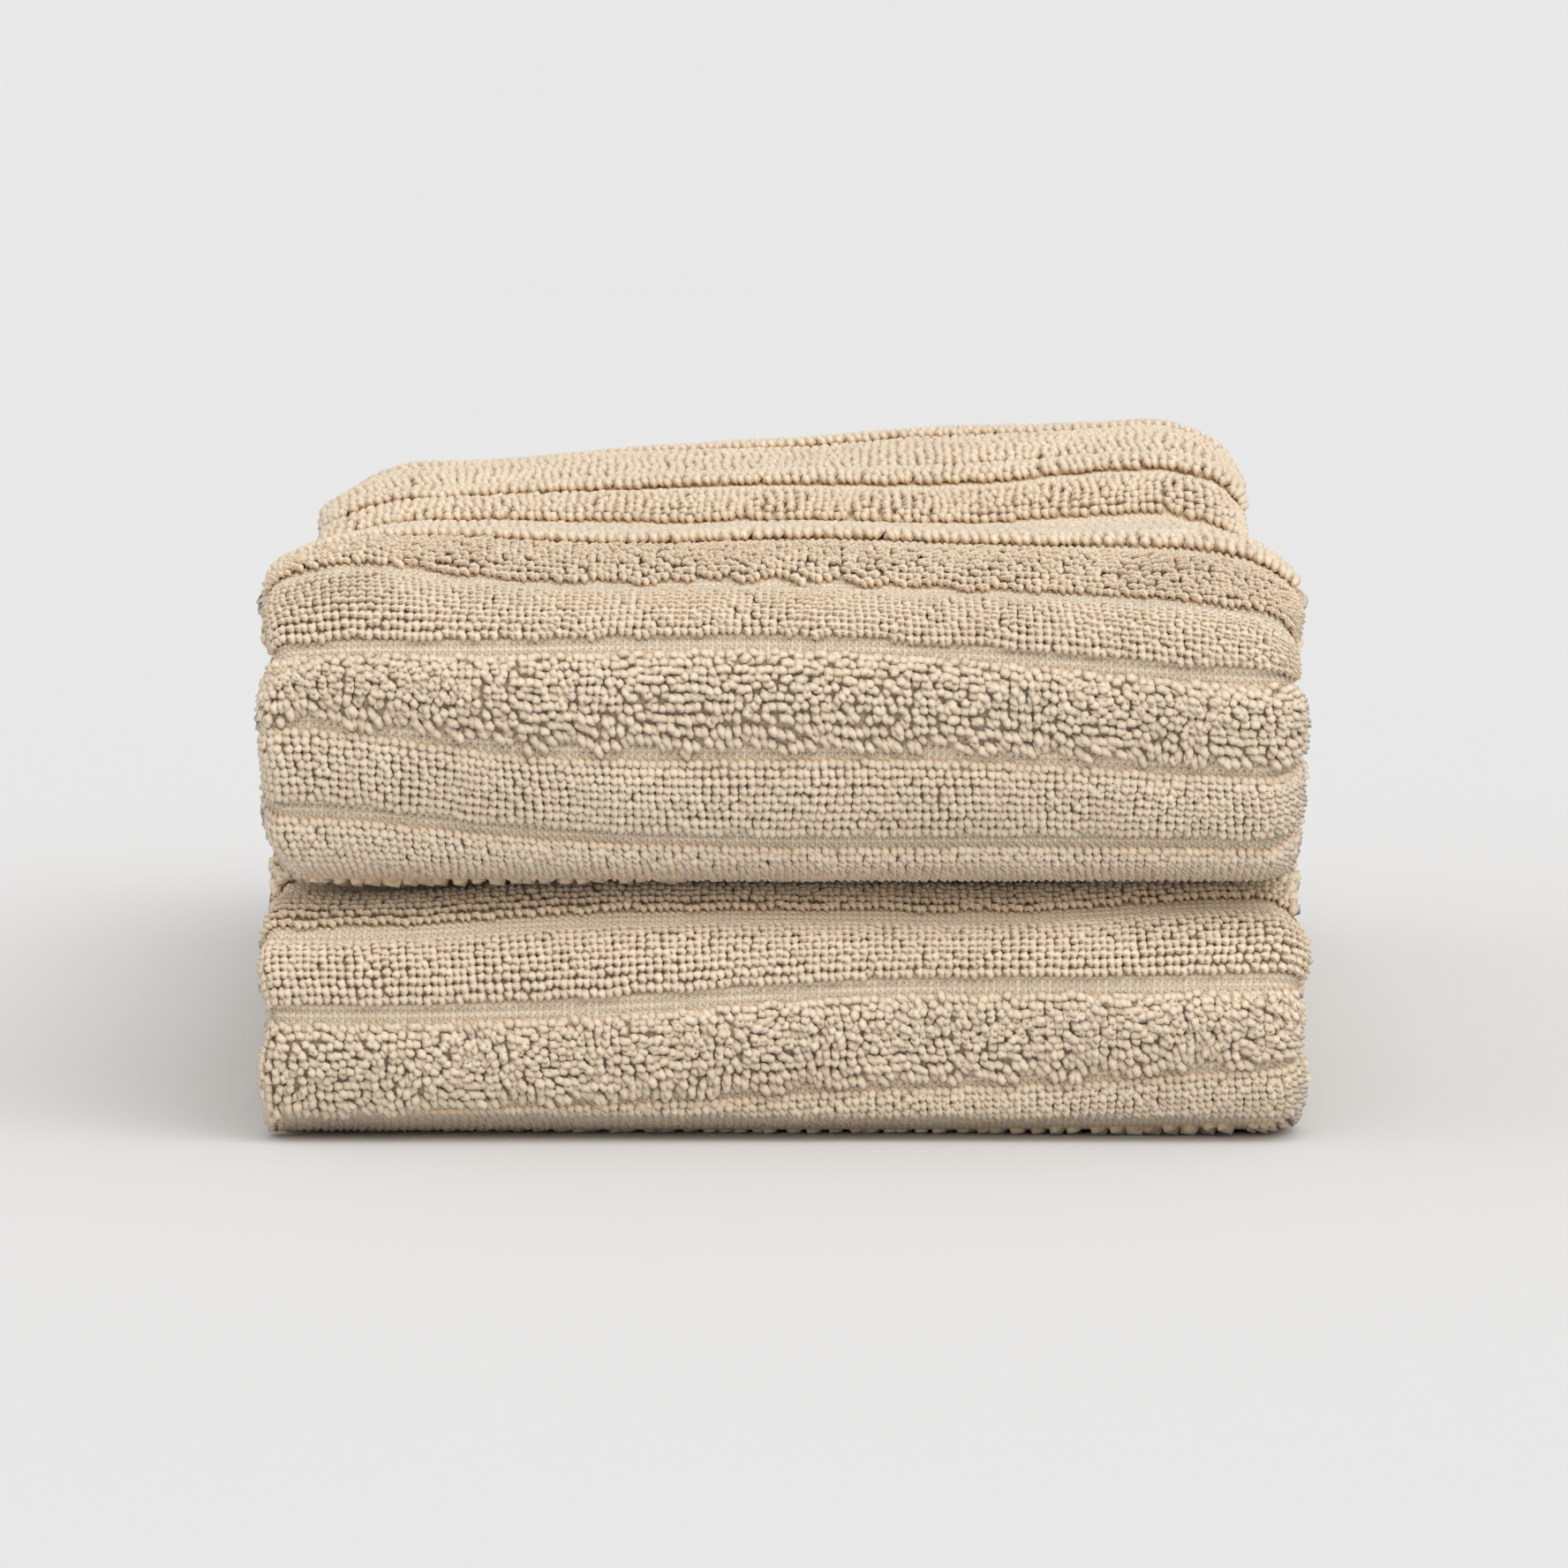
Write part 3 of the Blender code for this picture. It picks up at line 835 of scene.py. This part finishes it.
def make_towel(name):
    """The cloth of one towel and all of its pile."""
    towel = Towel(name)
    cloth = make_cloth(towel)
    grooves, first = groove_lines(towel)
    last = first + len(FRONT_GROOVES[name]) - 1
    piles = []
    for k, tousle in enumerate(FRONT_TOUSLE[name]):
        rib = Pile(towel, f"front_rib_{k + 1}", FINE_YARN)
        rib.add_rib(1, grooves[first + k], grooves[first + k + 1], 1.0, tousle, seed=20 + k)
        piles.append(rib)
    weave = Pile(towel, "groove_weave", GROOVE_YARN, "groove_weave")
    for k in range(first, last + 1):
        weave.add_groove(1, grooves[k], seed=40 + k)
    piles.append(weave)
    zones = {}
    sides = Pile(towel, "side_pile", HIDDEN_YARN)
    for k, (lower, upper) in enumerate(zip(grooves, grooves[1:])):
        sides.add_rib(-1, lower, upper, SIDE_SCALE, 0.3, seed=160 + k, where="sides")
        if first <= k < last:
            continue
        part = np.searchsorted(towel.starts, (lower[0] + upper[0]) / 2, side="right") - 1
        if part == INNER_FOLD:
            continue
        zone = ZONES[part]
        shown = towel.upper and zone == "top"
        if shown:
            zone = "top_front" if k < last + TOP_FRONT_RIBS else "top_back"
        if zone not in zones:
            zones[zone] = Pile(towel, f"{zone}_pile", PLAIN_YARN if shown else HIDDEN_YARN)
        if shown:
            zones[zone].add_rib(1, lower, upper, TOP_SCALE, 0.4, seed=60 + k)
            continue
        zones[zone].add_rib(1, lower, upper, HIDDEN_SCALE, 0.4, seed=60 + k, where="flat")
        sides.add_rib(1, lower, upper, SIDE_SCALE, 0.3, seed=260 + k, where="sides")
    pieces = [piece for pile in (*piles, *zones.values(), sides) for piece in pile.finish()]
    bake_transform(cloth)


# ------------ materials


class Nodes:
    """A new material with its Principled shader, and short ways to add and join nodes."""

    def __init__(self, name, base, roughness, sheen=0.0):
        self.material = bpy.data.materials.new(name)
        self.material.use_nodes = True
        self.tree = self.material.node_tree
        self.shader = self.tree.nodes["Principled BSDF"]
        for key, value in (("Base Color", (*base, 1)), ("Roughness", roughness),
                           ("Specular IOR Level", 0.2), ("Sheen Weight", sheen),
                           ("Sheen Roughness", 0.5)):
            self.shader.inputs[key].default_value = value
        self.material.diffuse_color = (*base, 1)

    def join(self, source, target):
        self.tree.links.new(source, target)

    def add(self, kind, **settings):
        node = self.tree.nodes.new(kind)
        for key, value in settings.items():
            setattr(node, key, value)
        return node

    def math(self, operation, a, b=None):
        node = self.add("ShaderNodeMath", operation=operation)
        for socket, value in zip(node.inputs, (a, b)):
            if isinstance(value, (int, float)):
                socket.default_value = value
            elif value is not None:
                self.join(value, socket)
        return node.outputs[0]

    def object_place(self):
        return self.add("ShaderNodeTexCoord").outputs["Object"]

    def parts(self, place):
        split = self.add("ShaderNodeSeparateXYZ")
        self.join(place, split.inputs[0])
        return split.outputs[0], split.outputs[1]

    def uv(self):
        return self.parts(self.add("ShaderNodeTexCoord").outputs["UV"])

    def attribute(self, name):
        return self.add("ShaderNodeAttribute", attribute_name=name).outputs["Fac"]

    def sine(self, value, scale):
        return self.math("SINE", self.math("MULTIPLY", value, scale))

    def ridges(self, value, scale):
        return self.math("ABSOLUTE", self.sine(value, scale))

    def sum(self, first, first_share, second, second_share):
        return self.math("ADD", self.math("MULTIPLY", first, first_share),
                         self.math("MULTIPLY", second, second_share))

    def noise(self, place, scale, detail=2.0):
        node = self.add("ShaderNodeTexNoise")
        node.inputs["Scale"].default_value = scale
        node.inputs["Detail"].default_value = detail
        self.join(place, node.inputs["Vector"])
        return node.outputs["Fac"]

    def ramp(self, factor, *stops):
        node = self.add("ShaderNodeValToRGB")
        points = node.color_ramp.elements
        while len(points) < len(stops):
            points.new(0.5)
        for point, (place, colour) in zip(points, stops):
            point.position, point.color = place, (*colour, 1)
        self.join(factor, node.inputs["Fac"])
        return node.outputs["Color"]

    def multiply(self, first, second):
        """One colour times another; the colour sockets come after those for numbers."""
        node = self.add("ShaderNodeMix", data_type="RGBA", blend_type="MULTIPLY")
        node.inputs[0].default_value = 1.0
        self.join(first, node.inputs[6])
        self.join(second, node.inputs[7])
        return node.outputs[2]

    def bump(self, height, strength, distance):
        node = self.add("ShaderNodeBump")
        node.inputs["Strength"].default_value = strength
        node.inputs["Distance"].default_value = distance
        self.join(height, node.inputs["Height"])
        self.join(node.outputs["Normal"], self.shader.inputs["Normal"])

    def colour(self, output):
        self.join(output, self.shader.inputs["Base Color"])


def scaled(colour, share):
    """The colour made darker or lighter, up to white."""
    return tuple(min(1.0, share * c) for c in colour)


def loop_material(name, base, crease_shade, painted_root_shade):
    """Two-ply cotton yarn: plies laid round each loop, with fine fibres across them. Its colour
    holds painted shade in the plies' creases, a slight painted highlight on their crowns, and
    painted warm shade towards the loops' roots.
    """
    nodes = Nodes(name, base, 0.9, sheen=0.45)
    ply = nodes.ridges(nodes.uv()[0], 2 * math.pi)
    fibres = nodes.noise(nodes.object_place(), 3600, 3)
    patches = nodes.noise(nodes.object_place(), 55, 3)
    # Painted shade in the creases between the plies, and a slight painted highlight on their
    # crowns
    plies = nodes.ramp(ply, (0.05, crease_shade), (0.5, base), (1.0, scaled(base, 1.05)))
    varied = nodes.sum(nodes.attribute("tone"), 0.5, nodes.math("ADD", fibres, patches), 0.25)
    shade = nodes.ramp(varied, (0.25, (0.86, 0.83, 0.80)), (0.75, (1.06, 1.07, 1.08)))
    # Painted shade: down among the loops, near each root, the colour turns darker and warmer,
    # as shade with bounced light would make it
    root = nodes.ramp(nodes.attribute("over_root"), (0.45, painted_root_shade), (1.6, (1, 1, 1)))
    nodes.colour(nodes.multiply(nodes.multiply(plies, shade), root))
    height = nodes.math("ADD", ply, nodes.math("MULTIPLY", fibres, 0.5))
    nodes.bump(height, 0.6, 0.00025)
    return nodes.material


def woven_material(name, base, thread_pitch):
    """Plain weave of the ground cloth, laid out by its unfolded width and length, with painted
    shade between the threads and a painted highlight on their crowns.
    """
    nodes = Nodes(name, base, 0.92, sheen=0.15)
    warp, weft = (nodes.sine(way, math.pi / thread_pitch) for way in nodes.uv())
    over = nodes.math("ABSOLUTE", nodes.math("MULTIPLY", warp, weft))
    fibres = nodes.noise(nodes.object_place(), 2500, 3)
    weave = nodes.sum(over, 0.7, fibres, 0.5)
    # Painted shade where the weave runs low between the threads, painted highlight where it
    # runs high on them
    nodes.colour(nodes.ramp(weave, (0.15, scaled(base, 0.62)), (0.55, base),
                            (0.95, scaled(base, 1.08))))
    nodes.bump(weave, 0.8, 0.0001)
    return nodes.material


def thread_material(name, base):
    """Sewing thread with a slight shine, twisted from fine strands."""
    nodes = Nodes(name, base, 0.6, sheen=0.1)
    strands = nodes.noise(nodes.object_place(), 5200)
    nodes.colour(nodes.ramp(strands, (0.3, scaled(base, 0.7)), (0.7, base)))
    nodes.bump(strands, 0.7, 0.0001)
    return nodes.material


def tape_material(name, base):
    """Blank woven tape with fine ribs across it, and painted shade between its ribs."""
    nodes = Nodes(name, base, 0.7, sheen=0.1)
    place = nodes.object_place()
    across, along = nodes.parts(place)
    cells = nodes.math("MULTIPLY", nodes.ridges(across, 7000), nodes.ridges(along, 5000))
    weave = nodes.sum(cells, 0.7, nodes.noise(place, 900), 0.3)
    # Painted shade in the low lines between the ribs
    nodes.colour(nodes.ramp(weave, (0.1, scaled(base, 0.8)), (0.6, base)))
    nodes.bump(weave, 0.5, 0.0001)
    return nodes.material


def floor_material(name, base):
    """A matt painted floor, with a trace of unevenness."""
    nodes = Nodes(name, base, 0.95)
    patches = nodes.noise(nodes.object_place(), 3)
    nodes.colour(nodes.ramp(patches, (0.3, scaled(base, 0.995)), (0.7, base)))
    return nodes.material


def material_named(name):
    """The named material, made when it is first asked for."""
    shades = colours()
    makers = {
        # The loops' last colour is their painted root shade, darker and warmer down among the
        # loops
        "terry_loops": lambda: loop_material(
            name, tuple(shades.loop), tuple(shades.crease_shade), (1.13, 0.90, 0.62)),
        # The picks' painted shade: their creases at 0.8 of their colour, and slightly darker
        # roots
        "groove_weave": lambda: loop_material(
            name, tuple(shades.pick), scaled(shades.pick, 0.8), (1.0, 0.97, 0.93)),
        "ground": lambda: woven_material(name, tuple(shades.ground), 0.0011),
        "sewing_thread": lambda: thread_material(name, tuple(shades.thread)),
        "label_tape": lambda: tape_material(name, tuple(shades.label)),
        "floor_paint": lambda: floor_material(name, tuple(stage().floor)),
    }
    return bpy.data.materials.get(name) or makers[name]()


# ------------ operators


class TOWELS_OT_stage(bpy.types.Operator):
    """Add the pale floor, the soft studio light and the camera"""

    bl_idname = "towels.stage"
    bl_label = "Studio floor, light and camera"

    def execute(self, context):
        settings = stage()
        deselect_all()
        bpy.ops.object.camera_add()
        camera = context.object
        camera.name = "camera"
        front = CAD_BOUNDS[0][1]
        camera.location = (0, front - settings.camera_distance, settings.camera_height)
        drop = settings.camera_height - settings.view_middle
        camera.rotation_euler = (math.pi / 2 - math.atan2(drop, settings.camera_distance), 0, 0)
        reach = math.hypot(drop, settings.camera_distance)
        camera.data.lens = camera.data.sensor_width * reach / settings.view_width
        camera.data.clip_start, camera.data.clip_end = 0.05, 100
        context.scene.camera = camera

        bpy.ops.mesh.primitive_plane_add(size=60)
        floor = context.object
        floor.name = "floor"
        floor.data.materials.append(material_named("floor_paint"))

        bpy.ops.object.light_add(type="SUN", rotation=tuple(map(math.radians, SUN_TURN)))
        sun = context.object
        sun.name = "key_light"
        sun.data.energy = settings.sun_strength
        sun.data.angle = math.radians(SUN_WIDTH)
        world = context.scene.world = bpy.data.worlds.new("studio")
        world.use_nodes = True
        background = world.node_tree.nodes["Background"]
        background.inputs["Color"].default_value = (*SKY, 1)
        background.inputs["Strength"].default_value = settings.sky_strength
        context.scene.view_settings.view_transform = "Standard"
        return {"FINISHED"}


class TOWELS_OT_lower(bpy.types.Operator):
    """Fold the lower towel's cloth and plant its pile"""

    bl_idname = "towels.lower"
    bl_label = "Lower towel"

    def execute(self, context):
        make_towel("lower_towel")
        return {"FINISHED"}


class TOWELS_OT_upper(bpy.types.Operator):
    """Fold the upper towel's cloth and plant its pile"""

    bl_idname = "towels.upper"
    bl_label = "Upper towel"

    def execute(self, context):
        make_towel("upper_towel")
        return {"FINISHED"}


class TOWELS_OT_finishes(bpy.types.Operator):
    """Give the hems' stitching and the labels their thread and tape"""

    bl_idname = "towels.finishes"
    bl_label = "Thread and label tape"

    def execute(self, context):
        for name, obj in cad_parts.items():
            if name.endswith("_leaf"):
                continue
            finish = "label_tape" if name.endswith("_label") else "sewing_thread"
            for place in obj.material_slots:
                place.material = material_named(finish)
        return {"FINISHED"}


class TOWELS_PT_panel(bpy.types.Panel):
    """Lists the steps that make the towels"""

    bl_label = "Folded bath towels"
    bl_idname = "TOWELS_PT_panel"
    bl_space_type = "VIEW_3D"
    bl_region_type = "UI"
    bl_category = "Towels"

    def draw(self, context):
        layout = self.layout
        for group, title in ((terry(), "Terry"), (colours(), "Colours"), (stage(), "Stage")):
            box = layout.box()
            box.label(text=title)
            for key in group.__annotations__:
                box.prop(group, key)
        for operator in OPERATORS:
            layout.operator(operator.bl_idname)


OPERATORS = (TOWELS_OT_stage, TOWELS_OT_lower, TOWELS_OT_upper, TOWELS_OT_finishes)
GROUPS = {
    "towel_terry": TOWELS_PG_terry,
    "towel_colours": TOWELS_PG_colours,
    "towel_stage": TOWELS_PG_stage,
}
CLASSES = (*GROUPS.values(), *OPERATORS, TOWELS_PT_panel)


def register():
    for cls in CLASSES:
        bpy.utils.register_class(cls)
    for key, group in GROUPS.items():
        setattr(bpy.types.Scene, key, bpy.props.PointerProperty(type=group))


def unregister():
    for key in GROUPS:
        delattr(bpy.types.Scene, key)
    for cls in reversed(CLASSES):
        bpy.utils.unregister_class(cls)


def main():
    register()
    bpy.ops.towels.stage()
    bpy.ops.towels.lower()
    bpy.ops.towels.upper()
    bpy.ops.towels.finishes()


if __name__ == "__main__":
    main()
